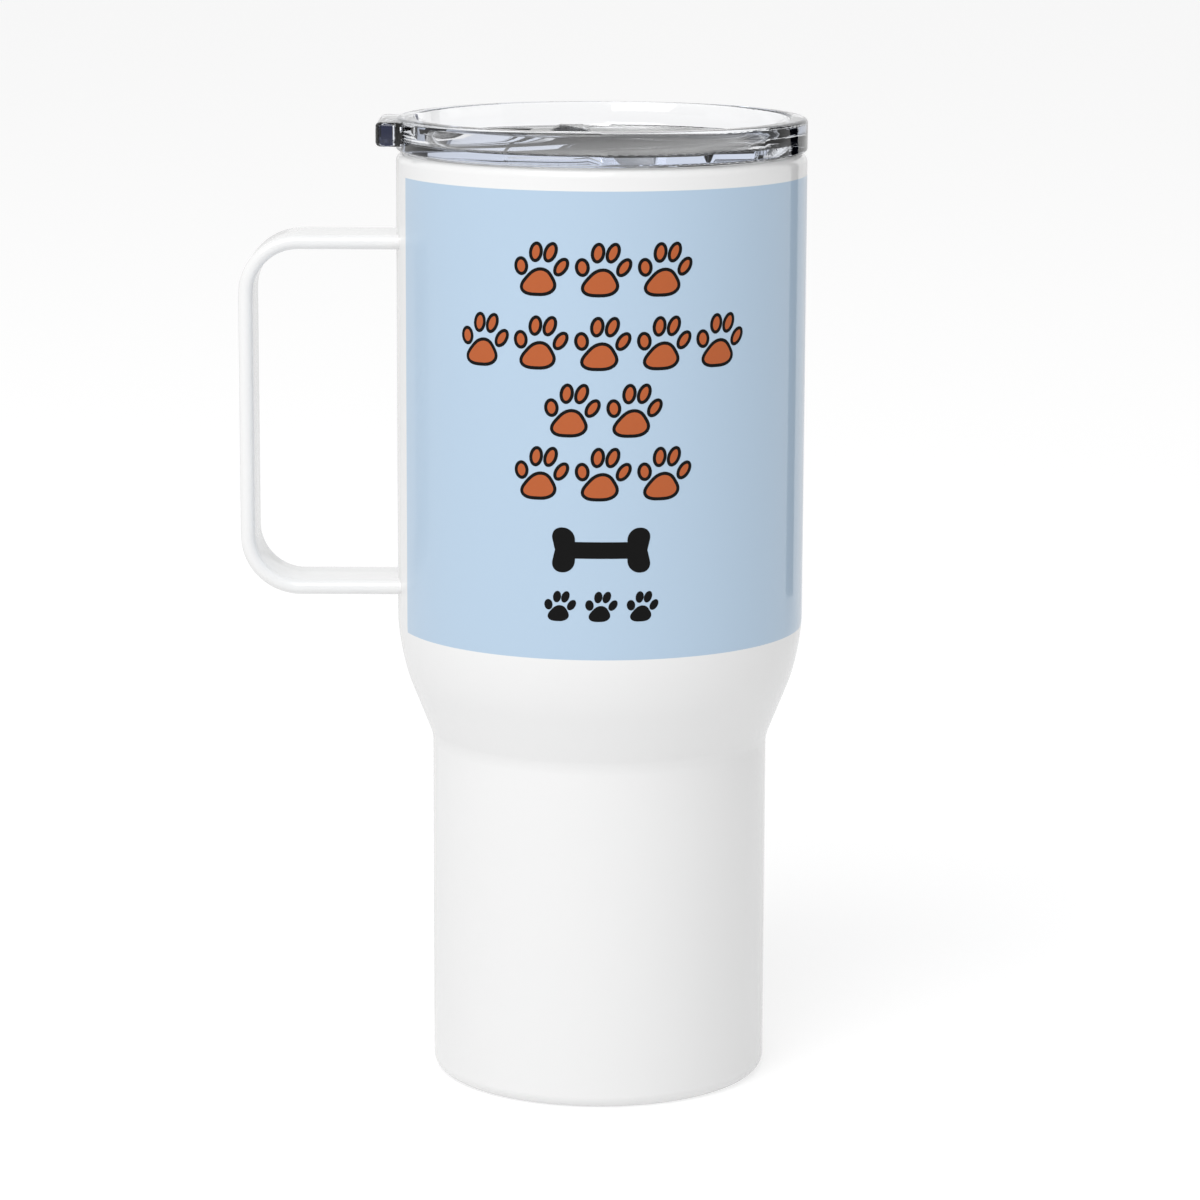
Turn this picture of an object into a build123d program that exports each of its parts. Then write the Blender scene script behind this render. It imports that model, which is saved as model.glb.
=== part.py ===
from build123d import *
from math import atan2, degrees, sqrt
import os

# Insulated travel mug: double steel wall, bent band handle, clear push-in lid with a slide closure.
# Millimetres, +Z up. The origin is the centre of the foot ring, on the surface that the mug stands on.
# The handle points to -X with the lid's lift tab over it, and the drink opening is on the +X side.

# ---- driving dimensions ----

# cup body, measured on the outside
upper_radius = 42.75  # wide cylinder
lower_radius = 35.4  # cylinder that stands in a cup holder
cup_height = 196.4  # top of the rolled mouth lip
shoulder_low = 72.9  # height where the cone's line meets the lower cylinder
shoulder_high = 91.3  # height where the cone's line meets the upper cylinder
shoulder_low_fillet = 8.0
shoulder_high_fillet = 40.0
shell_wall = 0.8
liner_wall = 0.6
jacket = 3.6  # outside of the shell to the inside of the liner
lip_fillet = 2.1  # outer rounding of the mouth lip
lip_flat = 0.1  # left level on the lip beside each rounding
weld_gap = 0.05  # between pieces pushed into each other and then welded

# foot and the parts closed in under the liner
foot_fillet = 2.6
foot_ring_width = 1.9
foot_flange_height = 3.0
base_plate_wall = 0.6
base_plate_recess = 2.0  # depth of the plate's face above the table
base_step_radius = 21.0
base_step_height = 0.5
base_step_run = 1.2  # along the radius
base_step_fillet = 0.5
base_rim_depth = 1.4
bottom_wall = 0.8
bottom_height = 4.2  # underside of the jacket's bottom
bottom_flange = 3.2
bottom_bend = 1.0
seal_hole_radius = 0.9
seal_radius = 2.8
seal_height = 1.1
seal_taper = 0.6
seal_rounding = 0.5
getter_radius = 4.0
getter_height = 1.6
getter_offset = 14.0
getter_edge_fillet = 0.4
liner_floor_height = 8.8  # inside of the cup's floor
liner_floor_fillet = 6.0
liner_weld_height = 18.0  # seam between the floor pressing and the liner's wall
foil_thickness = 0.2
foil_below_lip = 11.1
foil_slit = 2.0
foil_above_shoulder = 10.0

# handle: a flat band with rounded edges
handle_width = 18.0
handle_thickness = 3.0
handle_reach = 32.55  # outside of the shell to the outside of the grip
handle_drop = 17.0  # mouth lip down to the top of the upper arm
handle_span = 75.6  # outside height of the band
handle_bend = 11.0  # centre line radius
handle_overrun = 8.0  # length inside the cup's envelope, which cuts the ends to fit

# lid
lid_seat_gap = 0.35
ring_height = 6.75
ring_wall = 3.6
ring_edge_fillet = 1.1
ring_bottom_fillet = 0.5
rim_inner_fillet = 0.5
dish_depth = 5.0
dish_draft = 1.1
dish_corner_fillet = 0.8
floor_wall = 2.0
skirt_wall = 2.0
skirt_depth = 10.25
skirt_gap = 0.85  # skirt to liner
skirt_lead = 0.8
skirt_root_fillet = 0.8
groove_below_flange = 3.55
groove_height = 2.8
groove_depth = 1.0
gasket_clearance = 0.3  # lips of the fitted gasket to the liner
gasket_play = 0.05
gasket_slope = 0.5  # height of a lip's sloped side
gasket_land = 0.4  # height of a lip's tip
gasket_rounding = 0.15
gasket_web = 0.1  # material left beyond the skirt between the lips
tab_width = 24.0
tab_reach = 3.75
tab_thickness = 5.0
tab_drop = 0.6
tab_corner_fillet = 2.0
tab_root_fillet = 3.0
tab_edge_fillet = 0.9

# drink opening, its slider and what holds the slider
slide_travel = 13.0
opening_length = 16.0  # along Y
opening_width = 8.5  # along X
opening_inset = 10.5  # dish corner to the opening's centre
vent_radius = 1.0
vent_inset = 5.0
plate_width = 21.0
plate_wall = 1.2
plate_lift = 0.5  # plate's underside above the dish floor
plate_front_margin = 2.9
plate_back_margin = 10.0
plate_corner = 4.0
plate_edge_fillet = 0.4
seal_lift = 0.3
seal_border = 2.0  # silicone beyond the opening on every side
seal_pocket = 0.6
pad_edge_fillet = 0.15
running_gap = 0.3
rail_wall = 1.2
rail_height = 1.5
rail_inset = 1.6
grip_from_back = 8.6  # plate's back edge to the grip's centre
grip_base = 10.2
grip_top = 4.8
grip_height = 1.2
grip_length = 11.0
grip_fillet = 0.5
post_length = 8.0  # along X
post_width = 3.4  # along Y
post_from_back = 19.0
clip_length = 15.0
clip_width = 10.0
clip_wall = 1.3
clip_corner = 2.0
stake_wall = 0.6
stake_border = 0.7
bite = 0.3  # how far one shape is grown into another that it is joined to or cut from

# ---- sizes worked out from them ----

mouth_radius = upper_radius - jacket
liner_lower_radius = lower_radius - jacket
lip_seam_radius = upper_radius - lip_fillet - lip_flat  # where the shell's lip meets the liner's
liner_lip_fillet = lip_seam_radius - mouth_radius - lip_flat
foot_ring_outer = lower_radius - foot_fillet
foot_ring_inner = foot_ring_outer - foot_ring_width
shell_lower_inside = lower_radius - shell_wall

lid_bottom = cup_height + lid_seat_gap
lid_top = lid_bottom + ring_height
rim_inner_radius = upper_radius - ring_wall
dish_radius = rim_inner_radius - dish_draft
dish_floor = lid_top - dish_depth
dish_underside = dish_floor - floor_wall
skirt_radius = mouth_radius - skirt_gap
skirt_inner_radius = skirt_radius - skirt_wall
skirt_bottom = lid_bottom - skirt_depth
groove_top = lid_bottom - groove_below_flange
groove_bottom = groove_top - groove_height
groove_radius = skirt_radius - groove_depth

opening_x = dish_radius - opening_inset
plate_front = dish_radius - plate_front_margin
plate_back = slide_travel - (dish_radius - plate_back_margin)
plate_length = plate_front - plate_back
plate_bottom = dish_floor + plate_lift
plate_top = plate_bottom + plate_wall
post_x = plate_back + post_from_back
slot_back = post_x - post_length / 2 - slide_travel - running_gap
slot_front = post_x + post_length / 2 + running_gap
clip_top = dish_underside - running_gap
clip_bottom = clip_top - clip_wall

cup_corners = [
    (lower_radius, 0, foot_fillet),
    (lower_radius, shoulder_low, shoulder_low_fillet),
    (upper_radius, shoulder_high, shoulder_high_fillet),
    (upper_radius, cup_height, lip_fillet),
]


def outline_edges(corners):
    """Closed outline from (x, y, corner radius) values."""
    points = [(x, y) for x, y, _ in corners]
    with BuildLine() as outline:
        FilletPolyline(*points, radius=[r for _, _, r in corners], close=True)
    return outline.edges()


def wall_edges(start, corners, end, wall, side):
    """Outline of a sheet-metal section: a rounded line closed with its offset by the wall."""
    points = [start] + [(x, y) for x, y, _ in corners] + [end]
    with BuildLine() as outline:
        FilletPolyline(*points, radius=[r for _, _, r in corners])
        offset(amount=wall, side=side)
    return outline.edges()


# ---- cup ----

with BuildPart() as outer_shell:
    with BuildSketch(Plane.XZ):
        lip_end = (lip_seam_radius, cup_height)
        make_face(wall_edges((foot_ring_inner, 0), cup_corners, lip_end, shell_wall, Side.LEFT))
        # the foot's inner flange, which the base plate is pushed into
        with Locations((foot_ring_inner, 0)):
            Rectangle(shell_wall, foot_flange_height, align=(Align.MIN, Align.MIN))
    revolve(axis=Axis.Z)

with BuildPart() as inner_liner:
    with BuildSketch(Plane.XZ):
        section = wall_edges(
            (liner_lower_radius, liner_weld_height),
            [
                (liner_lower_radius, shoulder_low, shoulder_low_fillet + jacket),
                (mouth_radius, shoulder_high, shoulder_high_fillet - jacket),
                (mouth_radius, cup_height, liner_lip_fillet),
            ],
            (lip_seam_radius, cup_height),
            liner_wall,
            Side.RIGHT,
        )
        make_face(section)
    revolve(axis=Axis.Z)

with BuildPart() as liner_floor:
    with BuildSketch(Plane.XZ):
        section = wall_edges(
            (0, liner_floor_height),
            [(liner_lower_radius, liner_floor_height, liner_floor_fillet)],
            (liner_lower_radius, liner_weld_height),
            liner_wall,
            Side.RIGHT,
        )
        make_face(section)
    revolve(axis=Axis.Z)

# a thin foil wrapped once round the liner, with a slit where its ends stop short of each other
foil_inner = mouth_radius + liner_wall + weld_gap
foil_bottom = shoulder_high + foil_above_shoulder
with BuildPart() as radiation_foil:
    with BuildSketch(Plane.XY.offset(foil_bottom)):
        Circle(foil_inner + foil_thickness)
        Circle(foil_inner, mode=Mode.SUBTRACT)
        Rectangle(upper_radius, foil_slit, align=(Align.MIN, Align.CENTER), mode=Mode.SUBTRACT)
    extrude(amount=cup_height - foil_below_lip - foil_bottom)

# the bottom of the vacuum jacket, with the hole that the air is drawn out through
bottom_radius = shell_lower_inside - weld_gap
with BuildPart() as jacket_bottom:
    with BuildSketch(Plane.XZ):
        section = wall_edges(
            (0, bottom_height + bottom_wall),
            [(bottom_radius - bottom_wall, bottom_height + bottom_wall, bottom_bend)],
            (bottom_radius - bottom_wall, bottom_height + bottom_flange),
            bottom_wall,
            Side.RIGHT,
        )
        make_face(section)
    revolve(axis=Axis.Z)
    with Locations((0, 0, bottom_height)):
        Hole(seal_hole_radius)

# a drop of solder glass that plugs the hole from below
with BuildPart() as seal_bead:
    with BuildSketch(Plane.XZ):
        section = outline_edges(
            [
                (0, bottom_height, 0),
                (seal_radius, bottom_height, 0),
                (seal_radius - seal_taper, bottom_height - seal_height, seal_rounding),
                (0, bottom_height - seal_height, 0),
            ]
        )
        make_face(section)
    revolve(axis=Axis.Z)

with BuildPart() as getter:
    with BuildSketch(Plane.XY.offset(bottom_height + bottom_wall)):
        with Locations((getter_offset, 0)):
            Circle(getter_radius)
    extrude(amount=getter_height)
    fillet(getter.faces().sort_by(Axis.Z)[-1].edges(), getter_edge_fillet)

# the plate seen from below, pressed with a raised centre and a rim that fits the foot's flange
plate_rim_radius = foot_ring_inner - weld_gap
base_inner = plate_rim_radius - base_plate_wall
base_rim_bottom = base_plate_recess - base_rim_depth
step_inner = base_step_radius - base_step_run / 2
with BuildPart() as base_plate:
    with BuildSketch(Plane.XZ):
        section = wall_edges(
            (0, base_plate_recess - base_step_height),
            [
                (step_inner, base_plate_recess - base_step_height, base_step_fillet),
                (step_inner + base_step_run, base_plate_recess, base_step_fillet),
                (base_inner, base_plate_recess, 0),
            ],
            (base_inner, base_rim_bottom),
            base_plate_wall,
            Side.LEFT,
        )
        make_face(section)
    revolve(axis=Axis.Z)

# ---- handle ----

handle_top = cup_height - handle_drop
half_band = handle_thickness / 2
grip_x = -(upper_radius + handle_reach - half_band)
upper_arm = handle_top - half_band
lower_arm = handle_top - handle_span + half_band
arm_start = handle_overrun - liner_lower_radius

with BuildPart() as cup_envelope:
    with BuildSketch(Plane.XZ):
        make_face(outline_edges([(0, 0, 0)] + cup_corners + [(0, cup_height, 0)]))
    revolve(axis=Axis.Z)

with BuildPart() as handle:
    with BuildLine() as handle_path:
        FilletPolyline(
            (arm_start, 0, upper_arm),
            (grip_x, 0, upper_arm),
            (grip_x, 0, lower_arm),
            (arm_start, 0, lower_arm),
            radius=handle_bend,
        )
    with BuildSketch(Plane(origin=(arm_start, 0, upper_arm), x_dir=(0, 1, 0), z_dir=(-1, 0, 0))):
        SlotOverall(handle_width, handle_thickness)
    sweep(path=handle_path.wire())
    add(cup_envelope.part, mode=Mode.SUBTRACT)

# ---- lid ----

# the lift tab: half of its plan is drawn and mirrored, and an arc blends each side into the ring
tab_end = upper_radius + tab_reach
tab_top = lid_top - tab_drop
root_y = tab_width / 2 + tab_root_fillet
root_x = -sqrt((upper_radius + tab_root_fillet) ** 2 - root_y**2)
root_angle = 90 - degrees(atan2(root_y, -root_x))
with BuildPart() as lift_tab:
    with BuildSketch(Plane.XY.offset(tab_top - tab_thickness)):
        with BuildLine():
            side = FilletPolyline(
                (-tab_end, 0),
                (-tab_end, tab_width / 2),
                (root_x, tab_width / 2),
                radius=tab_corner_fillet,
            )
            root = JernArc(side @ 1, tangent=(1, 0), radius=tab_root_fillet, arc_size=root_angle)
            Line(root @ 1, ((root @ 1).X, 0))
            mirror(about=Plane.XZ)
        make_face()
    extrude(amount=tab_thickness)
    tab_faces = lift_tab.faces().sort_by(Axis.Z)
    tab_edges = tab_faces[0].edges() + tab_faces[-1].edges()
    fillet(tab_edges.filter_by(lambda e: e.center().X < root_x), tab_edge_fillet)

with BuildPart() as lid:
    with BuildSketch(Plane.XZ):
        section = outline_edges(
            [
                (0, dish_underside, 0),
                (skirt_inner_radius, dish_underside, skirt_root_fillet),
                (skirt_inner_radius, skirt_bottom, 0),
                (skirt_radius - skirt_lead, skirt_bottom, 0),
                (skirt_radius, skirt_bottom + skirt_lead, 0),
                (skirt_radius, groove_bottom, 0),
                (groove_radius, groove_bottom, 0),
                (groove_radius, groove_top, 0),
                (skirt_radius, groove_top, 0),
                (skirt_radius, lid_bottom, 0),
                (upper_radius, lid_bottom, ring_bottom_fillet),
                (upper_radius, lid_top, ring_edge_fillet),
                (rim_inner_radius, lid_top, rim_inner_fillet),
                (dish_radius, dish_floor, dish_corner_fillet),
                (0, dish_floor, 0),
            ]
        )
        make_face(section)
    revolve(axis=Axis.Z)
    add(lift_tab.part)

    # rails that guide the slider's long edges
    rail_y = plate_width / 2 + running_gap + rail_wall / 2
    rail_end = dish_radius - rail_inset
    with BuildSketch(Plane.XY.offset(dish_floor - bite)):
        with Locations((0, rail_y), (0, -rail_y)):
            Rectangle(2 * dish_radius, rail_wall)
        Circle(rail_end, mode=Mode.INTERSECT)
    extrude(amount=rail_height + bite)

    # drink opening, slot for the slider's post, and the air vent behind the slider
    with BuildSketch(Plane.XY.offset(dish_floor + bite)):
        with Locations(Location((opening_x, 0), 90)):
            SlotOverall(opening_length, opening_width)
        with Locations(((slot_back + slot_front) / 2, 0)):
            Rectangle(slot_front - slot_back, post_width + 2 * running_gap)
        with Locations((vent_inset - dish_radius, 0)):
            Circle(vent_radius)
    extrude(amount=-floor_wall - 2 * bite, mode=Mode.SUBTRACT)

with BuildPart() as lid_gasket:
    lip_radius = mouth_radius - gasket_clearance
    seat = groove_radius + gasket_play
    low = groove_bottom + gasket_play
    high = groove_top - gasket_play
    middle = (low + high) / 2
    with BuildSketch(Plane.XZ):
        section = outline_edges(
            [
                (seat, low, 0),
                (skirt_radius, low, 0),
                (lip_radius, low + gasket_slope, gasket_rounding),
                (lip_radius, low + gasket_slope + gasket_land, gasket_rounding),
                (skirt_radius + gasket_web, middle, gasket_rounding),
                (lip_radius, high - gasket_slope - gasket_land, gasket_rounding),
                (lip_radius, high - gasket_slope, gasket_rounding),
                (skirt_radius, high, 0),
                (seat, high, 0),
            ]
        )
        make_face(section)
    revolve(axis=Axis.Z)

# ---- slider ----

seal_length = opening_length + 2 * seal_border
seal_width = opening_width + 2 * seal_border
seal_top = plate_bottom + seal_pocket
with BuildPart() as slider_seal:
    with BuildSketch(Plane.XY.offset(dish_floor + seal_lift)):
        with Locations(Location((opening_x, 0), 90)):
            SlotOverall(seal_length, seal_width)
    extrude(amount=seal_top - dish_floor - seal_lift)
    fillet(slider_seal.faces().sort_by(Axis.Z)[0].edges(), pad_edge_fillet)

stake_bottom = clip_bottom - stake_wall
with BuildPart() as slider:
    with BuildSketch(Plane.XY.offset(plate_bottom)):
        with Locations(((plate_back + plate_front) / 2, 0)):
            RectangleRounded(plate_length, plate_width, plate_corner)
    extrude(amount=plate_wall)
    fillet(slider.faces().sort_by(Axis.Z)[-1].edges(), plate_edge_fillet)
    # pocket for the silicone pad
    with BuildSketch(Plane.XY.offset(plate_bottom)):
        with Locations(Location((opening_x, 0), 90)):
            SlotOverall(seal_length + 2 * gasket_play, seal_width + 2 * gasket_play)
    extrude(amount=seal_pocket, mode=Mode.SUBTRACT)
    # thumb grip, a low ridge with sloped sides
    grip_x_centre = plate_back + grip_from_back
    with BuildSketch(Plane.XZ.offset(-grip_length / 2)):
        section = outline_edges(
            [
                (grip_x_centre - grip_base / 2, plate_top - bite, 0),
                (grip_x_centre + grip_base / 2, plate_top - bite, 0),
                (grip_x_centre + grip_top / 2, plate_top + grip_height, grip_fillet),
                (grip_x_centre - grip_top / 2, plate_top + grip_height, grip_fillet),
            ]
        )
        make_face(section)
    extrude(amount=grip_length)
    # post through the floor's slot, with a staked head under the clip
    with BuildSketch(Plane.XY.offset(stake_bottom)):
        with Locations((post_x, 0)):
            Rectangle(post_length, post_width)
    extrude(amount=plate_bottom - stake_bottom + bite)
    with BuildSketch(Plane.XY.offset(stake_bottom)):
        with Locations((post_x, 0)):
            Rectangle(post_length + 2 * stake_border, post_width + 2 * stake_border)
    extrude(amount=stake_wall - gasket_play)

with BuildPart() as slider_clip:
    with BuildSketch(Plane.XY.offset(clip_bottom)):
        with Locations((post_x, 0)):
            RectangleRounded(clip_length, clip_width, clip_corner)
            Rectangle(
                post_length + 2 * gasket_play, post_width + 2 * gasket_play, mode=Mode.SUBTRACT
            )
    extrude(amount=clip_wall)

# ---- files ----

pieces = {
    "outer_shell": outer_shell,
    "inner_liner": inner_liner,
    "liner_floor": liner_floor,
    "radiation_foil": radiation_foil,
    "jacket_bottom": jacket_bottom,
    "seal_bead": seal_bead,
    "getter": getter,
    "base_plate": base_plate,
    "handle": handle,
    "lid": lid,
    "lid_gasket": lid_gasket,
    "slider": slider,
    "slider_seal": slider_seal,
    "slider_clip": slider_clip,
}
os.makedirs("parts", exist_ok=True)
for name, piece in pieces.items():
    piece.part.label = name
    export_step(piece.part, f"parts/{name}.step")
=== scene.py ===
from math import atan2, cos, degrees, pi, radians, sin, sqrt, tan

import bmesh
import bpy
from mathutils import Matrix, Vector


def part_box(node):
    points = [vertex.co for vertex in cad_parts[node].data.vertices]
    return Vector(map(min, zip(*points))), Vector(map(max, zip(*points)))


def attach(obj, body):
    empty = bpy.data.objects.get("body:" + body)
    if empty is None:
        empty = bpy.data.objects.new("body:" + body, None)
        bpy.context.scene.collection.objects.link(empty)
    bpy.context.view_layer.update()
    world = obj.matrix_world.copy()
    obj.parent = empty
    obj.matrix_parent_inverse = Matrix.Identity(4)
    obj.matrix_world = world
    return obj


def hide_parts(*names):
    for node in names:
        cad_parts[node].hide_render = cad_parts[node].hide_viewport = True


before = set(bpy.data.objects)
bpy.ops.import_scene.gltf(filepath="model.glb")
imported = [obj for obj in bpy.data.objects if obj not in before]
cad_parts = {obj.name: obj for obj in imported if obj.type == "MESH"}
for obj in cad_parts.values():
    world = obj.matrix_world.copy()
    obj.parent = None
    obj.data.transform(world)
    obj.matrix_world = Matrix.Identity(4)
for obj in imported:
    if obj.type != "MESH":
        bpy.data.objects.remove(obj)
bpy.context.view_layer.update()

# Insulated travel mug with a bent band handle and a clear push-in lid with a slide closure.
# Metres; the origin is the centre of the foot ring, the handle points to -X and the camera looks along +Y.
# Sizes in the dictionaries are millimetres, like the ones on a drawing; mm turns them into metres.

mm = 0.001
spinSteps = 180

_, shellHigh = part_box("outer_shell")
floorLow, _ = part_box("liner_floor")
_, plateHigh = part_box("base_plate")
handleLow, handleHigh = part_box("handle")
cupRadius = shellHigh.y
cupHeight = shellHigh.z


# mesh helpers

def roundCorner(bm, vert, rounding, segments):
    # vertex bevel that leaves an arc of the given radius between the two straight runs
    before, after = [(edge.other_vert(vert).co - vert.co).normalized() for edge in vert.link_edges]
    turn = pi - before.angle(after)
    bmesh.ops.bevel(bm, geom=[vert], offset=rounding * tan(turn / 2), offset_type="OFFSET",
                    affect="VERTICES", segments=segments, profile=0.5, material=-1)


def drawLine(bm, corners):
    # polyline in the XZ plane from (radius, height, rounding) corners in millimetres
    verts = [bm.verts.new((r * mm, 0, z * mm)) for r, z, _ in corners]
    for first, second in zip(verts, verts[1:]):
        bm.edges.new((first, second))
    for vert, (_, _, rounding) in zip(verts, corners):
        if rounding:
            roundCorner(bm, vert, rounding * mm, 4 if rounding < 1 else 8 if rounding < 5 else 14)


def spinLine(bm):
    # full turn of every wire edge round the Z axis
    bmesh.ops.spin(bm, geom=bm.verts[:] + bm.edges[:], cent=(0, 0, 0), axis=(0, 0, 1), dvec=(0, 0, 0),
                   angle=2 * pi, steps=spinSteps, use_merge=True, use_duplicate=False)
    bmesh.ops.remove_doubles(bm, verts=bm.verts[:], dist=1e-6)
    bmesh.ops.recalc_face_normals(bm, faces=bm.faces[:])


def thicken(bm, wall):
    # a positive wall grows against the sheet's normals; the closed skin then faces outwards
    bmesh.ops.solidify(bm, geom=bm.faces[:], thickness=wall * mm)
    bmesh.ops.recalc_face_normals(bm, faces=bm.faces[:])


def makePiece(name, bm, materials, body, nodes=(), sharpAngle=35):
    mesh = bpy.data.meshes.new(name)
    bm.to_mesh(mesh)
    bm.free()
    for material in materials:
        mesh.materials.append(material)
    mesh.polygons.foreach_set("use_smooth", [True] * len(mesh.polygons))
    mesh.set_sharp_from_angle(angle=radians(sharpAngle))
    piece = bpy.data.objects.new(name, mesh)
    bpy.context.scene.collection.objects.link(piece)
    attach(piece, body)
    if nodes:
        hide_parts(*nodes)
    return piece


def nodeCopy(nodeName):
    # a CAD node's triangles, merged so that they shade smoothly
    bm = bmesh.new()
    bm.from_mesh(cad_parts[nodeName].data)
    bmesh.ops.remove_doubles(bm, verts=bm.verts[:], dist=2e-6)
    return bm


# shader groups: what each finish adds to a plain shader

def newGroup(name, inputs, outputs):
    group = bpy.data.node_groups.new(name, "ShaderNodeTree")
    for label, kind, value in inputs:
        socket = group.interface.new_socket(name=label, in_out="INPUT", socket_type=kind)
        socket.default_value = value
    for label, kind in outputs:
        group.interface.new_socket(name=label, in_out="OUTPUT", socket_type=kind)
    return group, group.nodes.new("NodeGroupInput"), group.nodes.new("NodeGroupOutput")


def addNode(tree, kind, **values):
    node = tree.nodes.new(kind)
    for key, value in values.items():
        setattr(node, key, value)
    return node


def linkSockets(tree, *pairs):
    for source, target in pairs:
        tree.links.new(source, target)


def sprayedCoat():
    # faint orange peel and cloudiness of a sprayed and cured coat
    group, entry, result = newGroup(
        "sprayedCoat",
        [("Color", "NodeSocketColor", (1, 1, 1, 1)), ("Cloudiness", "NodeSocketFloat", 0.02),
         ("Peel scale", "NodeSocketFloat", 700.0), ("Roughness", "NodeSocketFloat", 0.2)],
        [("Color", "NodeSocketColor"), ("Roughness", "NodeSocketFloat"), ("Height", "NodeSocketFloat")])
    place = addNode(group, "ShaderNodeTexCoord")
    cloud = addNode(group, "ShaderNodeTexNoise")
    cloud.inputs["Scale"].default_value = 22
    cloud.inputs["Detail"].default_value = 3
    peel = addNode(group, "ShaderNodeTexNoise")
    peel.inputs["Detail"].default_value = 1
    centred = addNode(group, "ShaderNodeMath", operation="SUBTRACT")
    centred.inputs[1].default_value = 0.5
    amount = addNode(group, "ShaderNodeMath", operation="MULTIPLY_ADD")
    amount.inputs[2].default_value = 1
    tinted = addNode(group, "ShaderNodeVectorMath", operation="SCALE")
    rough = addNode(group, "ShaderNodeMath", operation="MULTIPLY")
    linkSockets(
        group,
        (place.outputs["Object"], cloud.inputs["Vector"]), (place.outputs["Object"], peel.inputs["Vector"]),
        (entry.outputs["Peel scale"], peel.inputs["Scale"]),
        (cloud.outputs["Fac"], centred.inputs[0]),
        (centred.outputs[0], amount.inputs[0]), (entry.outputs["Cloudiness"], amount.inputs[1]),
        (entry.outputs["Color"], tinted.inputs[0]), (amount.outputs[0], tinted.inputs["Scale"]),
        (entry.outputs["Roughness"], rough.inputs[0]), (amount.outputs[0], rough.inputs[1]),
        (tinted.outputs[0], result.inputs["Color"]), (rough.outputs[0], result.inputs["Roughness"]),
        (peel.outputs["Fac"], result.inputs["Height"]))
    return group


def spunSteel():
    # rings left round the axis by spinning and polishing, with soft streaks in the roughness
    group, entry, result = newGroup(
        "spunSteel",
        [("Color", "NodeSocketColor", (0.6, 0.6, 0.6, 1)), ("Roughness", "NodeSocketFloat", 0.25),
         ("Ring scale", "NodeSocketFloat", 900.0), ("Streak depth", "NodeSocketFloat", 0.3)],
        [("Color", "NodeSocketColor"), ("Roughness", "NodeSocketFloat"), ("Height", "NodeSocketFloat")])
    place = addNode(group, "ShaderNodeTexCoord")
    parts = addNode(group, "ShaderNodeSeparateXYZ")
    across = addNode(group, "ShaderNodeCombineXYZ")
    radius = addNode(group, "ShaderNodeVectorMath", operation="LENGTH")
    profile = addNode(group, "ShaderNodeCombineXYZ")
    rings = addNode(group, "ShaderNodeTexNoise")
    rings.inputs["Detail"].default_value = 4
    smudge = addNode(group, "ShaderNodeTexNoise")
    smudge.inputs["Scale"].default_value = 35
    smudge.inputs["Detail"].default_value = 3
    mixed = addNode(group, "ShaderNodeMath", operation="ADD")
    centred = addNode(group, "ShaderNodeMath", operation="SUBTRACT")
    centred.inputs[1].default_value = 1
    amount = addNode(group, "ShaderNodeMath", operation="MULTIPLY_ADD")
    amount.inputs[2].default_value = 1
    rough = addNode(group, "ShaderNodeMath", operation="MULTIPLY")
    tinted = addNode(group, "ShaderNodeVectorMath", operation="SCALE")
    gentle = addNode(group, "ShaderNodeMath", operation="MULTIPLY_ADD")
    gentle.inputs[1].default_value = 0.25
    gentle.inputs[2].default_value = 0.75
    linkSockets(
        group,
        (place.outputs["Object"], parts.inputs[0]), (place.outputs["Object"], smudge.inputs["Vector"]),
        (parts.outputs["X"], across.inputs["X"]), (parts.outputs["Y"], across.inputs["Y"]),
        (across.outputs[0], radius.inputs[0]),
        (radius.outputs["Value"], profile.inputs["X"]), (parts.outputs["Z"], profile.inputs["Z"]),
        (profile.outputs[0], rings.inputs["Vector"]), (entry.outputs["Ring scale"], rings.inputs["Scale"]),
        (rings.outputs["Fac"], mixed.inputs[0]), (smudge.outputs["Fac"], mixed.inputs[1]),
        (mixed.outputs[0], centred.inputs[0]),
        (centred.outputs[0], amount.inputs[0]), (entry.outputs["Streak depth"], amount.inputs[1]),
        (entry.outputs["Roughness"], rough.inputs[0]), (amount.outputs[0], rough.inputs[1]),
        (amount.outputs[0], gentle.inputs[0]),
        (entry.outputs["Color"], tinted.inputs[0]), (gentle.outputs[0], tinted.inputs["Scale"]),
        (tinted.outputs[0], result.inputs["Color"]), (rough.outputs[0], result.inputs["Roughness"]),
        (rings.outputs["Fac"], result.inputs["Height"]))
    return group


def mouldedSkin():
    # very shallow ripple of a moulded surface
    group, entry, result = newGroup(
        "mouldedSkin",
        [("Roughness", "NodeSocketFloat", 0.03), ("Ripple scale", "NodeSocketFloat", 60.0),
         ("Variation", "NodeSocketFloat", 0.5)],
        [("Roughness", "NodeSocketFloat"), ("Height", "NodeSocketFloat")])
    place = addNode(group, "ShaderNodeTexCoord")
    ripple = addNode(group, "ShaderNodeTexNoise")
    ripple.inputs["Detail"].default_value = 1
    centred = addNode(group, "ShaderNodeMath", operation="SUBTRACT")
    centred.inputs[1].default_value = 0.5
    amount = addNode(group, "ShaderNodeMath", operation="MULTIPLY_ADD")
    amount.inputs[2].default_value = 1
    rough = addNode(group, "ShaderNodeMath", operation="MULTIPLY")
    linkSockets(
        group,
        (place.outputs["Object"], ripple.inputs["Vector"]), (entry.outputs["Ripple scale"], ripple.inputs["Scale"]),
        (ripple.outputs["Fac"], centred.inputs[0]), (centred.outputs[0], amount.inputs[0]),
        (entry.outputs["Variation"], amount.inputs[1]),
        (entry.outputs["Roughness"], rough.inputs[0]), (amount.outputs[0], rough.inputs[1]),
        (rough.outputs[0], result.inputs["Roughness"]), (ripple.outputs["Fac"], result.inputs["Height"]))
    return group


groups = {"sprayedCoat": sprayedCoat(), "spunSteel": spunSteel(), "mouldedSkin": mouldedSkin()}


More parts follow.
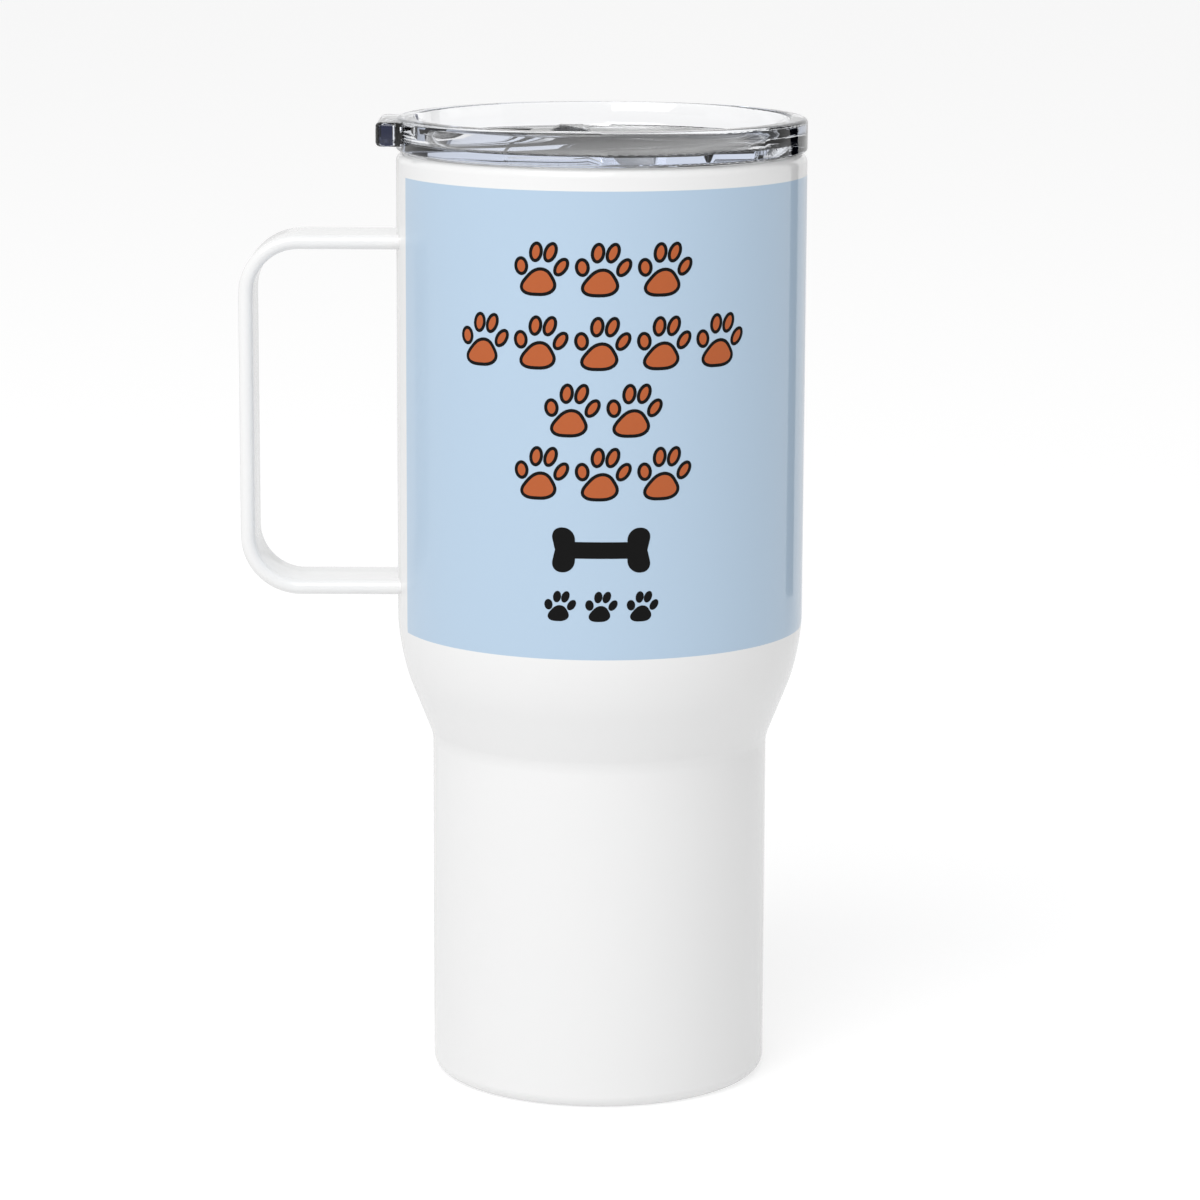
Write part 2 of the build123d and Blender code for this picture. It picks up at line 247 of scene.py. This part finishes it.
def makeMaterial(name, groupName, groupValues, shaderValues, bump):
    material = bpy.data.materials.new(name)
    material.use_nodes = True
    tree = material.node_tree
    shader = tree.nodes["Principled BSDF"]
    for label, value in shaderValues.items():
        shader.inputs[label].default_value = value
    effect = addNode(tree, "ShaderNodeGroup", node_tree=groups[groupName])
    for label, value in groupValues.items():
        effect.inputs[label].default_value = value
    relief = addNode(tree, "ShaderNodeBump")
    relief.inputs["Strength"].default_value = bump[0]
    relief.inputs["Distance"].default_value = bump[1] * mm
    linkSockets(tree, (effect.outputs["Roughness"], shader.inputs["Roughness"]),
                (effect.outputs["Height"], relief.inputs["Height"]), (relief.outputs[0], shader.inputs["Normal"]))
    if "Color" in effect.outputs:
        linkSockets(tree, (effect.outputs["Color"], shader.inputs["Base Color"]))
    material.diffuse_color = groupValues.get("Color", shaderValues.get("Base Color", (0.8, 0.8, 0.8, 1)))
    return material


def coatMaterial(name, color, cloudiness=0.015, gloss=1.0):
    return makeMaterial(
        name, "sprayedCoat",
        {"Color": (*color, 1), "Cloudiness": cloudiness, "Peel scale": 420.0, "Roughness": 0.3},
        {"Coat Weight": gloss, "Coat Roughness": 0.04, "Specular IOR Level": 0.2 * gloss}, (0.02, 0.05))


def steelMaterial(name, color, roughness, ringScale, depth):
    return makeMaterial(
        name, "spunSteel",
        {"Color": (*color, 1), "Roughness": roughness, "Ring scale": ringScale, "Streak depth": depth},
        {"Metallic": 1.0}, (0.08, 0.05))


def clearMaterial(name, color, roughness, ior, tint, density):
    material = makeMaterial(
        name, "mouldedSkin", {"Roughness": roughness, "Ripple scale": 70.0, "Variation": 0.4},
        {"Base Color": (*color, 1), "Transmission Weight": 1.0, "IOR": ior}, (0.02, 0.02))
    tree = material.node_tree
    body = addNode(tree, "ShaderNodeVolumeAbsorption")
    body.inputs["Color"].default_value = (*tint, 1)
    body.inputs["Density"].default_value = density  # per metre
    linkSockets(tree, (body.outputs[0], tree.nodes["Material Output"].inputs["Volume"]))
    return material


whiteCoat = coatMaterial("whiteCoat", (0.84, 0.84, 0.84))
printBlue = coatMaterial("printBlue", (0.455, 0.59, 0.735), 0.015, 0.7)
printOrange = coatMaterial("printOrange", (0.47, 0.11, 0.03), 0.03, 0.35)
printBlack = coatMaterial("printBlack", (0.004, 0.004, 0.004), 0.03, 0.15)
linerSteel = steelMaterial("linerSteel", (0.60, 0.60, 0.59), 0.24, 1400.0, 0.35)
plateSteel = steelMaterial("plateSteel", (0.58, 0.58, 0.57), 0.30, 900.0, 0.45)
foilMetal = steelMaterial("foilMetal", (0.80, 0.80, 0.80), 0.18, 300.0, 0.5)
getterMetal = steelMaterial("getterMetal", (0.20, 0.20, 0.21), 0.55, 500.0, 0.5)
clearLid = clearMaterial("clearLid", (1, 1, 1), 0.01, 1.49, (0.48, 0.60, 0.84), 9.0)
# the near-black base colour of this clear is painted shade for the lift tab's flat ends, in place of the dark
# refraction seen there
tabEndPaintedShade = clearMaterial("tabEndPaintedShade", (0.015, 0.02, 0.055), 0.05, 1.49, (0.46, 0.58, 0.80), 12.0)
clearSlider = clearMaterial("clearSlider", (1, 1, 1), 0.22, 1.49, (0.50, 0.60, 0.76), 20.0)
sealGlass = clearMaterial("sealGlass", (1, 1, 1), 0.05, 1.55, (0.25, 0.35, 0.25), 600.0)
silicone = makeMaterial("silicone", "mouldedSkin", {"Roughness": 0.42, "Ripple scale": 90.0, "Variation": 0.5},
                        {"Base Color": (0.80, 0.82, 0.84, 1), "Transmission Weight": 0.35, "IOR": 1.41}, (0.1, 0.1))
print("materials made")


# cup: shell, liner, liner floor and base plate

cup = {
    "lowerRadius": 35.4, "footRing": 30.9, "footRounding": 2.6,
    "shoulderLow": 72.9, "shoulderHigh": 91.3, "lowRounding": 8.0, "highRounding": 40.0,
    "lipRounding": 2.1, "lipSeam": 40.55, "shellWall": 0.8, "linerWall": 0.6, "jacket": 3.6,
    "linerBottom": 18.0, "floorRounding": 6.0, "linerLip": 1.3,
    "printLow": 97.0, "printHigh": 191.9, "printMargin": 0.3, "bareAngle": 20.0,
}
radiusMm = cupRadius / mm
heightMm = cupHeight / mm

bm = bmesh.new()
drawLine(bm, [
    (cup["footRing"], 3.0, 0), (cup["footRing"], 0, 0), (cup["lowerRadius"], 0, cup["footRounding"]),
    (cup["lowerRadius"], cup["shoulderLow"], cup["lowRounding"]),
    (radiusMm, cup["shoulderHigh"], cup["highRounding"]),
    (radiusMm, heightMm, cup["lipRounding"]), (cup["lipSeam"], heightMm, 0)])
spinLine(bm)
for height in (cup["printLow"], cup["printHigh"]):
    bmesh.ops.bisect_plane(bm, geom=bm.verts[:] + bm.edges[:] + bm.faces[:], dist=1e-6,
                           plane_co=(0, 0, height * mm), plane_no=(0, 0, 1))
thicken(bm, cup["shellWall"])
for face in bm.faces:
    middle = face.calc_center_median()
    outside = sqrt(middle.x ** 2 + middle.y ** 2) > cupRadius - cup["printMargin"] * mm
    fromHandle = 180 - abs(degrees(atan2(middle.y, middle.x)))
    printed = cup["printLow"] * mm < middle.z < cup["printHigh"] * mm and fromHandle > cup["bareAngle"]
    face.material_index = 1 if outside and printed else 0
cupShell = makePiece("cupShell", bm, [whiteCoat, printBlue], "mug", ["outer_shell"])

bm = bmesh.new()
mouth = radiusMm - cup["jacket"]
linerLower = cup["lowerRadius"] - cup["jacket"]
drawLine(bm, [
    (linerLower, cup["linerBottom"], 0), (linerLower, cup["shoulderLow"], cup["lowRounding"] + cup["jacket"]),
    (mouth, cup["shoulderHigh"], cup["highRounding"] - cup["jacket"]),
    (mouth, heightMm, cup["linerLip"]), (cup["lipSeam"], heightMm, 0)])
spinLine(bm)
thicken(bm, cup["linerWall"])
cupLiner = makePiece("cupLiner", bm, [linerSteel], "mug", ["inner_liner"])

bm = bmesh.new()
drawLine(bm, [
    (0, floorLow.z / mm + cup["linerWall"], 0),
    (linerLower, floorLow.z / mm + cup["linerWall"], cup["floorRounding"]), (linerLower, cup["linerBottom"], 0)])
spinLine(bm)
thicken(bm, -cup["linerWall"])
linerFloor = makePiece("linerFloor", bm, [linerSteel], "mug", ["liner_floor"])

basePlate = {"wall": 0.6, "centre": 1.5, "face": 2.0, "stepRadius": 21.0, "stepRun": 1.2, "rimDepth": 1.4}
bm = bmesh.new()
rim = plateHigh.x / mm
drawLine(bm, [
    (0, basePlate["centre"], 0), (basePlate["stepRadius"] - basePlate["stepRun"] / 2, basePlate["centre"], 0.5),
    (basePlate["stepRadius"] + basePlate["stepRun"] / 2, basePlate["face"], 0.5),
    (rim - basePlate["wall"], basePlate["face"], 0.3),
    (rim - basePlate["wall"], basePlate["face"] - basePlate["rimDepth"], 0)])
spinLine(bm)
thicken(bm, -basePlate["wall"])
basePiece = makePiece("basePlate", bm, [plateSteel], "mug", ["base_plate"])
print("cup made")


# handle

band = {"width": 18.0, "thickness": 3.0, "bend": 11.0, "sideSegments": 16, "bendSteps": 24}

bm = bmesh.new()
half = band["thickness"] * mm / 2
gripX = handleLow.x + half
upperZ = handleHigh.z - half
lowerZ = handleLow.z + half
bend = band["bend"] * mm
bmesh.ops.create_circle(bm, cap_ends=False, radius=half, segments=2 * band["sideSegments"],
                        matrix=Matrix.Rotation(pi / 2, 4, "Y"))
for vert in bm.verts:
    vert.co.y += (band["width"] * mm / 2 - half) * (1 if vert.co.y > 0 else -1)
bmesh.ops.translate(bm, verts=bm.verts[:], vec=(-cupRadius, 0, upperZ))


def extendBand(bm, edges, shift):
    grown = bmesh.ops.extrude_edge_only(bm, edges=edges)["geom"]
    verts = [item for item in grown if isinstance(item, bmesh.types.BMVert)]
    bmesh.ops.translate(bm, verts=verts, vec=shift)
    return [item for item in grown if isinstance(item, bmesh.types.BMEdge)]


def bendBand(bm, edges, centre):
    turned = bmesh.ops.spin(bm, geom=edges, cent=centre, axis=(0, 1, 0), dvec=(0, 0, 0),
                            angle=-pi / 2, steps=band["bendSteps"], use_duplicate=False)
    return [item for item in turned["geom_last"] if isinstance(item, bmesh.types.BMEdge)]


startEdges = bm.edges[:]
edges = extendBand(bm, startEdges, (gripX + bend + cupRadius, 0, 0))
edges = bendBand(bm, edges, (gripX + bend, 0, upperZ - bend))
edges = extendBand(bm, edges, (0, 0, lowerZ - upperZ + 2 * bend))
edges = bendBand(bm, edges, (gripX + bend, 0, lowerZ + bend))
endEdges = extendBand(bm, edges, (-gripX - bend - cupRadius, 0, 0))
for edge in startEdges + endEdges:
    for vert in edge.verts:
        vert.co.x = -sqrt(cupRadius ** 2 - vert.co.y ** 2)  # the ends fit the shell
bmesh.ops.holes_fill(bm, edges=startEdges + endEdges, sides=0)
bmesh.ops.recalc_face_normals(bm, faces=bm.faces[:])
handleBand = makePiece("handleBand", bm, [whiteCoat], "mug", ["handle"])
print("handle made")


# print on the wrap

pawRows = [
    # middle height, arc length from the front to the row's middle, number of prints, pitch and size
    {"height": 176.2, "shift": 0.3, "count": 3, "pitch": 12.6, "size": 11.6},
    {"height": 161.4, "shift": 0.2, "count": 5, "pitch": 12.6, "size": 11.6},
    {"height": 147.9, "shift": 0.4, "count": 2, "pitch": 12.6, "size": 11.6},
    {"height": 135.0, "shift": 0.4, "count": 3, "pitch": 12.6, "size": 11.6},
]
smallPaws = {"height": 108.0, "shift": 0.2, "count": 3, "pitch": 8.4, "size": 6.6}
bone = {
    "height": 119.6, "shift": 0.2, "length": 21.0, "knob": 4.6, "knobLength": 5.2, "shaft": 1.7,
    "notch": 1.1, "rounding": 2.5,
}
paw = {
    # in shares of the print's size: each toe's place, tilt and radii, and the pad's
    "toes": [(-0.36, 0.05, 24, 0.125, 0.17), (-0.13, 0.30, 8, 0.125, 0.18),
             (0.13, 0.30, -8, 0.125, 0.18), (0.36, 0.05, -24, 0.125, 0.17)],
    "pad": (0.0, -0.235, 0.32, 0.25), "lobes": 0.09, "slant": 0.16, "outline": 0.058, "filmLift": 0.035,
    "filmWall": 0.02, "rings": 4, "outlineSegments": 40,
}


def fillMotif(bm, face, outline, outlineIndex, fillIndex):
    # an outline of its own colour, then a fan cut into rings that follow the cup's curve
    face.material_index = fillIndex
    if outline:
        ring = bmesh.ops.inset_individual(bm, faces=[face], thickness=outline, use_even_offset=True)["faces"]
        for edgeFace in ring:
            edgeFace.material_index = outlineIndex
    fan = bmesh.ops.poke(bm, faces=[face])
    for fanFace in fan["faces"]:
        fanFace.material_index = fillIndex
    bmesh.ops.subdivide_edges(bm, edges=fan["verts"][0].link_edges[:], cuts=paw["rings"])


def addOval(bm, place, radii, tilt, outline, outlineIndex, fillIndex, lobes=0.0):
    oval = bmesh.ops.create_circle(bm, cap_ends=True, radius=1, segments=paw["outlineSegments"])["verts"]
    for vert in oval:
        angle = atan2(vert.co.y, vert.co.x)
        vert.co *= 1 + lobes * cos(3 * (angle - pi / 2))
    bmesh.ops.scale(bm, verts=oval, vec=(radii[0], radii[1], 1))
    bmesh.ops.rotate(bm, verts=oval, cent=(0, 0, 0), matrix=Matrix.Rotation(radians(tilt), 3, "Z"))
    for vert in oval:
        vert.co.x += paw["slant"] * vert.co.y
    bmesh.ops.translate(bm, verts=oval, vec=(place[0], place[1], 0))
    fillMotif(bm, oval[0].link_faces[0], outline, outlineIndex, fillIndex)


def addPaws(bm, row, outline, outlineIndex, fillIndex):
    size = row["size"] * mm
    for number in range(row["count"]):
        middle = (row["shift"] + (number - (row["count"] - 1) / 2) * row["pitch"]) * mm
        for x, y, tilt, wide, high in paw["toes"]:
            addOval(bm, (middle + (x + paw["slant"] * y) * size, row["height"] * mm + y * size),
                    (wide * size, high * size), tilt, outline * size, outlineIndex, fillIndex)
        x, y, wide, high = paw["pad"]
        addOval(bm, (middle + (x + paw["slant"] * y) * size, row["height"] * mm + y * size),
                (wide * size, high * size), 0, outline * size, outlineIndex, fillIndex, paw["lobes"])


def addBone(bm):
    end = bone["length"] / 2
    neck = end - bone["knobLength"]
    quarter = [(neck, bone["shaft"]), (neck, bone["knob"]), (end, bone["knob"]), (end - bone["notch"], 0)]
    upper = quarter + [(x, -y) for x, y in quarter[-2::-1]]
    corners = upper + [(-x, -y) for x, y in upper]
    verts = [bm.verts.new((x * mm, y * mm, 0)) for x, y in corners]
    bm.faces.new(verts)
    rounded = [v for v in verts if abs(v.co.y) > (bone["shaft"] + bone["knob"]) / 2 * mm]
    bmesh.ops.bevel(bm, geom=rounded, offset=bone["rounding"] * mm, affect="VERTICES",
                    segments=8, profile=0.5, material=-1)


bm = bmesh.new()
addBone(bm)
bmesh.ops.triangulate(bm, faces=bm.faces[:])
bmesh.ops.subdivide_edges(bm, edges=bm.edges[:], cuts=3, use_grid_fill=True)
for face in bm.faces:
    face.material_index = 1
bmesh.ops.translate(bm, verts=bm.verts[:], vec=(bone["shift"] * mm, bone["height"] * mm, 0))
for row in pawRows:
    addPaws(bm, row, paw["outline"], 1, 0)
addPaws(bm, smallPaws, 0, 1, 1)
for vert in bm.verts:
    angle = vert.co.x / cupRadius
    reach = cupRadius + paw["filmLift"] * mm
    vert.co = (reach * sin(angle), -reach * cos(angle), vert.co.y)
bmesh.ops.recalc_face_normals(bm, faces=bm.faces[:])
for face in bm.faces:
    if face.normal.dot(face.calc_center_median() * Vector((1, 1, 0))) < 0:
        face.normal_flip()
bmesh.ops.solidify(bm, geom=bm.faces[:], thickness=paw["filmWall"] * mm)
printMotifs = makePiece("printMotifs", bm, [printOrange, printBlack], "mug", (), 80)
print("print made")


# lid and slider

bm = nodeCopy("lid")
for face in bm.faces:
    if face.calc_center_median().x < -cupRadius and abs(face.normal.y) > 0.8:
        face.material_index = 1  # the flat ends of the lift tab get a dark clear as painted shade, standing in for the dark refraction they show; the real tab is one clear plastic
lidShell = makePiece("lidShell", bm, [clearLid, tabEndPaintedShade], "lid", ["lid"], 30)
lidGasket = makePiece("lidGasket", nodeCopy("lid_gasket"), [silicone], "lid", ["lid_gasket"], 30)
sliderPlate = makePiece("sliderPlate", nodeCopy("slider"), [clearSlider], "slider", ["slider"], 30)
sliderPad = makePiece("sliderPad", nodeCopy("slider_seal"), [silicone], "slider", ["slider_seal"], 30)
sliderClip = makePiece("sliderClip", nodeCopy("slider_clip"), [clearSlider], "slider",
                       ["slider_clip"], 30)
print("lid made")

# the parts sealed in the jacket stay as they are, with their own finishes
for nodeName, material in {"radiation_foil": foilMetal, "jacket_bottom": plateSteel,
                           "seal_bead": sealGlass, "getter": getterMetal}.items():
    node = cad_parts[nodeName]
    node.data.materials.clear()
    node.data.materials.append(material)


# studio

studio = {
    "floorRadius": 14.0, "floorColor": (0.5, 0.5, 0.5), "floorGlow": 0.40, "floorSeen": 0.17,
    "skyFront": 0.65, "skyBack": 0.26, "skyRight": -0.12,
    "keyAzimuth": -24, "keyHeight": 50, "keyDistance": 2.2, "keyPower": 25,
}

bm = bmesh.new()
bmesh.ops.create_circle(bm, cap_ends=True, radius=studio["floorRadius"], segments=64)
floorMesh = bpy.data.meshes.new("studioFloor")
bm.to_mesh(floorMesh)
bm.free()
floorMaterial = bpy.data.materials.new("studioFloor")
floorMaterial.use_nodes = True
floorShader = floorMaterial.node_tree.nodes["Principled BSDF"]
floorShader.inputs["Base Color"].default_value = (*studio["floorColor"], 1)
floorShader.inputs["Roughness"].default_value = 0.9
floorShader.inputs["Specular IOR Level"].default_value = 0.1
floorShader.inputs["Emission Color"].default_value = (1, 1, 1, 1)
floorTree = floorMaterial.node_tree
floorRay = addNode(floorTree, "ShaderNodeLightPath")
seenRay = addNode(floorTree, "ShaderNodeMath", operation="MAXIMUM")
glow = addNode(floorTree, "ShaderNodeMath", operation="MULTIPLY_ADD")
glow.inputs[1].default_value = studio["floorSeen"]
glow.inputs[2].default_value = studio["floorGlow"]
linkSockets(
    floorTree,
    (floorRay.outputs["Is Camera Ray"], seenRay.inputs[0]),
    (floorRay.outputs["Is Transmission Ray"], seenRay.inputs[1]),
    (seenRay.outputs[0], glow.inputs[0]), (glow.outputs[0], floorShader.inputs["Emission Strength"]))
floorMesh.materials.append(floorMaterial)
studioFloor = bpy.data.objects.new("studioFloor", floorMesh)
bpy.context.scene.collection.objects.link(studioFloor)

sky = bpy.data.worlds.new("studioSky")
bpy.context.scene.world = sky
sky.use_nodes = True
skyTree = sky.node_tree
skyShader = skyTree.nodes["Background"]
skyShader.inputs["Color"].default_value = (1, 1, 1, 1)
direction = addNode(skyTree, "ShaderNodeTexCoord")
sides = addNode(skyTree, "ShaderNodeSeparateXYZ")
behind = addNode(skyTree, "ShaderNodeMapRange", interpolation_type="SMOOTHSTEP")
toRight = addNode(skyTree, "ShaderNodeMapRange", interpolation_type="SMOOTHSTEP")
rayKind = addNode(skyTree, "ShaderNodeLightPath")
total = addNode(skyTree, "ShaderNodeMath", operation="ADD")
lighter = addNode(skyTree, "ShaderNodeMath", operation="ADD")
seen = addNode(skyTree, "ShaderNodeMath", operation="MAXIMUM")
skyRamps = ((behind, (0.35, 0.85), (0, studio["skyBack"])), (toRight, (0.2, 1), (0, studio["skyRight"])))
for node, reach, change in skyRamps:
    for label, value in zip(("From Min", "From Max", "To Min", "To Max"), (*reach, *change)):
        node.inputs[label].default_value = value
lighter.inputs[1].default_value = studio["skyFront"]
linkSockets(
    skyTree,
    (direction.outputs["Generated"], sides.inputs[0]),
    (sides.outputs["Y"], behind.inputs["Value"]), (sides.outputs["X"], toRight.inputs["Value"]),
    (behind.outputs["Result"], total.inputs[0]), (toRight.outputs["Result"], total.inputs[1]),
    (total.outputs[0], lighter.inputs[0]),
    (lighter.outputs[0], seen.inputs[0]), (rayKind.outputs["Is Camera Ray"], seen.inputs[1]),
    (seen.outputs[0], skyShader.inputs["Strength"]))


def addSoftbox(name, place, target, width, height, power):
    light = bpy.data.lights.new(name, "AREA")
    light.shape = "RECTANGLE"
    light.size, light.size_y = width, height
    light.energy = power
    lamp = bpy.data.objects.new(name, light)
    bpy.context.scene.collection.objects.link(lamp)
    lamp.location = place
    lamp.rotation_euler = (Vector(target) - Vector(place)).to_track_quat("-Z", "Y").to_euler()
    lamp.visible_camera = False


def addFlag(name, azimuth, distance, width, low, high):
    # a black card that shows only in reflections; azimuth is counted from -Y towards +X
    bm = bmesh.new()
    bmesh.ops.create_grid(bm, x_segments=1, y_segments=1, size=0.5,
                          matrix=Matrix.Rotation(pi / 2, 4, "X"))
    bmesh.ops.scale(bm, verts=bm.verts[:], vec=(width, 1, high - low))
    bmesh.ops.translate(bm, verts=bm.verts[:], vec=(0, -distance, (high + low) / 2))
    bmesh.ops.rotate(bm, verts=bm.verts[:], cent=(0, 0, 0), matrix=Matrix.Rotation(radians(azimuth), 3, "Z"))
    mesh = bpy.data.meshes.new(name)
    bm.to_mesh(mesh)
    bm.free()
    mesh.materials.append(flagCloth)
    flag = bpy.data.objects.new(name, mesh)
    bpy.context.scene.collection.objects.link(flag)
    flag.visible_camera = False
    flag.visible_shadow = False


flagCloth = bpy.data.materials.new("flagCloth")
flagCloth.use_nodes = True
flagShader = flagCloth.node_tree.nodes["Principled BSDF"]
flagShader.inputs["Base Color"].default_value = (0.004, 0.005, 0.012, 1)
flagShader.inputs["Roughness"].default_value = 1.0
flagShader.inputs["Specular IOR Level"].default_value = 0.0

keyTurn, keyLift = radians(studio["keyAzimuth"]), radians(studio["keyHeight"])
keyPlace = Vector((sin(keyTurn) * cos(keyLift), -cos(keyTurn) * cos(keyLift), sin(keyLift))) * studio["keyDistance"]
addSoftbox("keyBox", keyPlace, (0, 0, 0.12), 1.4, 1.6, studio["keyPower"])
addFlag("rightFlag", 133, 0.55, 0.11, 0.0, 0.5)

camera = bpy.data.objects.new("camera", bpy.data.cameras.new("camera"))
bpy.context.scene.collection.objects.link(camera)
bpy.context.scene.camera = camera
camera.data.sensor_width = 36
camera.data.lens = 129.5
camera.matrix_world = (Matrix.Translation((0, -0.8984, 0.2738)) @ Matrix.Rotation(radians(79.129), 4, "X")
                       @ Matrix.Rotation(radians(0.2252), 4, "Z"))
bpy.context.scene.view_settings.view_transform = "Standard"
print("studio made")
